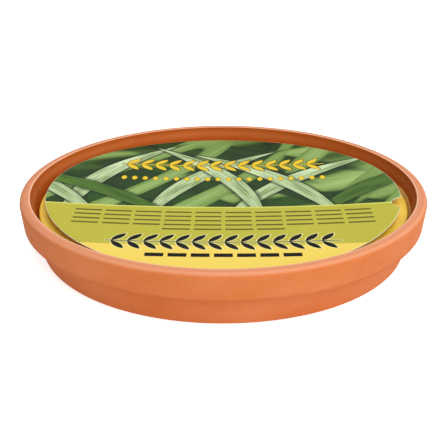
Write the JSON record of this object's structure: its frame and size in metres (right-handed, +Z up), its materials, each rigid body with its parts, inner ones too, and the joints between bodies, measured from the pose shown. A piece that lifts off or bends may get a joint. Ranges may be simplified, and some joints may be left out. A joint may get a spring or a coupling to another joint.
{
  "type": "terracotta garden candle",
  "caption": "Low round garden candle: a terracotta saucer with a square band as its rim, filled with wax and covered by a round printed card with a finger notch.",
  "frame": {"origin": "centre of the foot ring, on the surface the candle stands on", "axes": "+Z up along the saucer's axis; -Y towards the near edge of the card, so its picture is at +Y; +X to the right, where the card has its finger notch"},
  "size_m": [0.23, 0.23, 0.033],
  "materials": {
    "terracotta": "matte fired clay, unglazed, fine grain",
    "candle_wax": "satin candle wax",
    "tin": "stamped tin",
    "wick_cotton": "waxed cotton braid",
    "card_board": "white-cored card, cut edge",
    "ink_leaf_green": "printed, satin",
    "ink_light_green": "printed, satin",
    "ink_lime": "printed, satin",
    "ink_olive": "printed, satin",
    "ink_yellow": "printed, satin",
    "ink_gold": "printed, satin",
    "ink_dark": "printed, satin",
    "ink_dark_olive": "printed, satin"
  },
  "bodies": {
    "root": {"saucer": "terracotta", "wax_fill": "candle_wax", "sustainer_1": "tin", "sustainer_2": "tin", "sustainer_3": "tin", "wick_1": "wick_cotton", "wick_2": "wick_cotton", "wick_3": "wick_cotton", "label_card": "card_board", "print_picture": "ink_leaf_green", "print_blades": "ink_light_green", "print_rule": "ink_lime", "print_olive": "ink_olive", "print_yellow": "ink_yellow", "print_gold_garland": "ink_gold", "print_dark_garland": "ink_dark", "print_dashes": "ink_dark_olive"}
  },
  "joints": []
}
